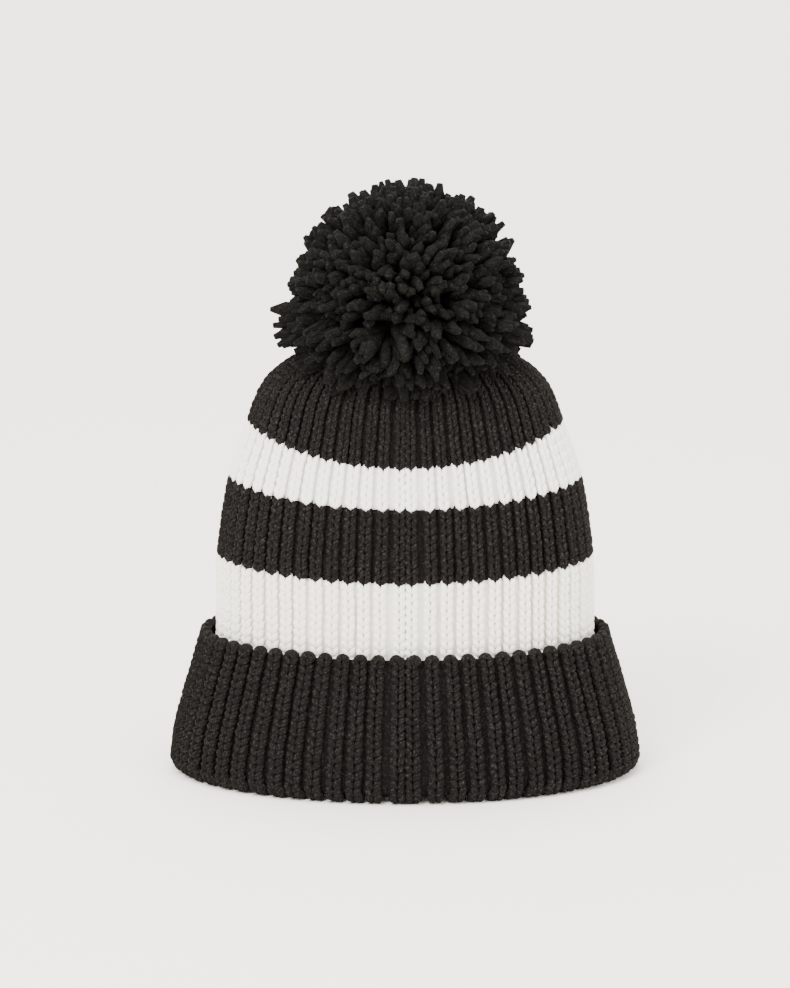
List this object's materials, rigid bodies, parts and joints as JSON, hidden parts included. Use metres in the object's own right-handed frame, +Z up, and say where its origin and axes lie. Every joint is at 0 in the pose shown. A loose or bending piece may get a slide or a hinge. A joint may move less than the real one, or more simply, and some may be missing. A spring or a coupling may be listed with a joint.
{
  "type": "pom pom beanie",
  "caption": "Chunky rib-knit beanie in charcoal with two pale stripes, a turned-up cuff and a large yarn pom pom on a gathered crown.",
  "frame": {"origin": "on the floor under the middle of the hat, at the centre of the rim's oval", "axes": "+Z up through the pom pom, +X to the right as seen from the seamed back, the back seam faces -Y"},
  "size_m": [0.23, 0.15, 0.2892],
  "materials": {
    "charcoal_knit": "matte heathered chunky knit",
    "white_knit": "matte cool white chunky knit",
    "cream_knit": "matte cream white chunky knit",
    "charcoal_rib": "matte heathered chunky rib",
    "sewing_yarn": "matte plied yarn",
    "pompom_yarn": "matte plied cut yarn",
    "binding_cord": "matte braided cord",
    "label_satin": "satin ribbon, blank",
    "label_thread": "sewing thread"
  },
  "bodies": {
    "cuff": {"cuff_turned_up_layer": "charcoal_rib", "cuff_seam_yarn": "sewing_yarn"},
    "hat": {"cuff_inner_layer": "charcoal_rib", "lower_stripe": "cream_knit", "middle_band": "charcoal_knit", "upper_stripe": "white_knit", "crown_band": "charcoal_knit", "back_seam_yarn": "sewing_yarn", "crown_gathering_yarn": "sewing_yarn", "care_label": "label_satin", "care_label_thread": "label_thread"},
    "tie": {"pompom_attaching_yarn": "sewing_yarn"},
    "pompom": {"pompom_strands": "pompom_yarn", "pompom_binding_cord": "binding_cord"}
  },
  "joints": [
    {"name": "cuff_unfold", "type": "slide", "parent": "cuff", "child": "hat", "axis": [0, 0, 1], "range_m": [0, 0.06]},
    {"name": "pompom_sway", "type": "hinge", "parent": "hat", "child": "tie", "pos_m": [0, 0, 0.20275], "axis": [0, 1, 0], "range_deg": [-10, 10], "stiffness_Nm_per_rad": 0.4},
    {"name": "pompom_nod", "type": "hinge", "parent": "tie", "child": "pompom", "pos_m": [0, 0, 0.20275], "axis": [1, 0, 0], "range_deg": [-10, 10], "stiffness_Nm_per_rad": 0.4}
  ]
}
